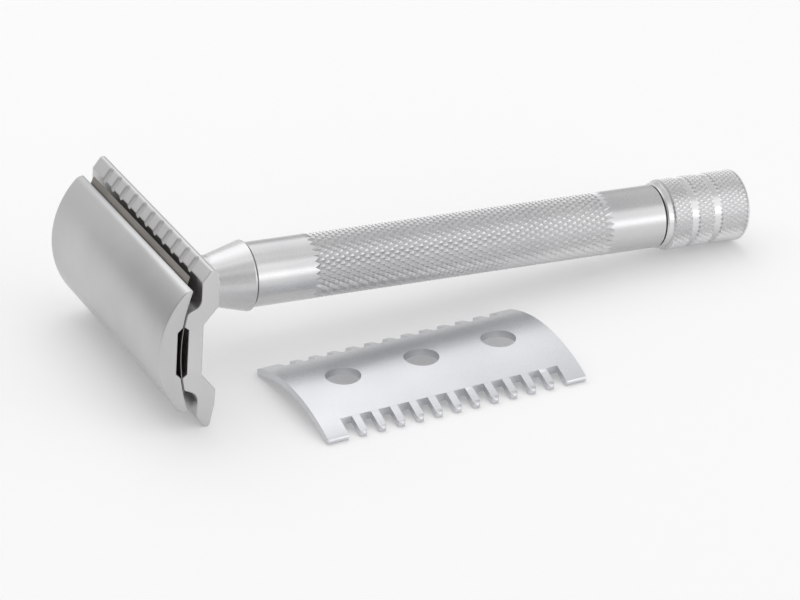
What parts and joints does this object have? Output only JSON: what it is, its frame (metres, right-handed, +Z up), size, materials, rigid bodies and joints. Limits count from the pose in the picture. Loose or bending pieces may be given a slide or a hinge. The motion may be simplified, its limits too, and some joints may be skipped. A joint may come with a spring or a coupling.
{
  "type": "safety razor",
  "caption": "Double edge safety razor with a knurled handle, a turning knob that draws the cap down on the blade, and a spare open comb plate beside it.",
  "frame": {"origin": "on the table, under the middle of the box round the razor and its spare plate", "axes": "+Z up; +X along the razor from head to knob; the blade's edges run along Y"},
  "size_m": [0.1086, 0.056, 0.0254],
  "materials": {
    "cap_satin_chrome": "satin",
    "plate_satin_chrome": "satin",
    "comb_satin_chrome": "satin",
    "ferrule_satin_chrome": "satin",
    "handle_satin_chrome": "satin, diamond knurled grip",
    "knob_satin_chrome": "satin, diamond knurled bands",
    "pin_steel": "satin",
    "stud_steel": "satin",
    "blade_steel": "brushed",
    "bush_brass": "turned",
    "socket_brass": "turned",
    "washer_steel": "plain",
    "rod_steel": "turned",
    "screw_steel": "turned"
  },
  "bodies": {
    "handle": {"handle_tube": "handle_satin_chrome", "neck_ferrule": "ferrule_satin_chrome", "front_bush": "bush_brass", "rear_bush": "bush_brass", "thrust_washer": "washer_steel"},
    "knob": {"knob_body": "knob_satin_chrome", "draw_rod": "rod_steel", "draw_socket": "socket_brass", "socket_pin": "rod_steel", "retaining_ring": "washer_steel", "spring_washer": "washer_steel", "end_screw": "screw_steel"},
    "fitted_plate": {"base_plate": "plate_satin_chrome"},
    "blade": {"razor_blade": "blade_steel"},
    "cap": {"top_cap": "cap_satin_chrome", "cap_guide_pins": "pin_steel", "cap_stud": "stud_steel"},
    "spare_plate": {"open_comb_plate": "comb_satin_chrome"}
  },
  "joints": [
    {"name": "knob_turn", "type": "hinge", "parent": "handle", "child": "knob", "pos_m": [-0.04738, 0.00649, 0.01277], "axis": [0.9975, 0, -0.07], "range_deg": [0, 2880]},
    {"name": "plate_lift", "type": "slide", "parent": "handle", "child": "fitted_plate", "axis": [-0.9975, 0, 0.07], "range_m": [0, 0.01]},
    {"name": "blade_lift", "type": "slide", "parent": "fitted_plate", "child": "blade", "axis": [-0.9975, 0, 0.07], "range_m": [0, 0.005]},
    {"name": "cap_lift", "type": "slide", "parent": "blade", "child": "cap", "axis": [-0.9975, 0, 0.07], "range_m": [0, 0.0064]},
    {"name": "comb_lift", "type": "slide", "parent": "handle", "child": "spare_plate", "axis": [0, 0, 1], "range_m": [0, 0.03]}
  ],
  "couplings": [
    {"joint": "cap_lift", "follows": "knob_turn", "m_per_rad": 0.00012732}
  ]
}
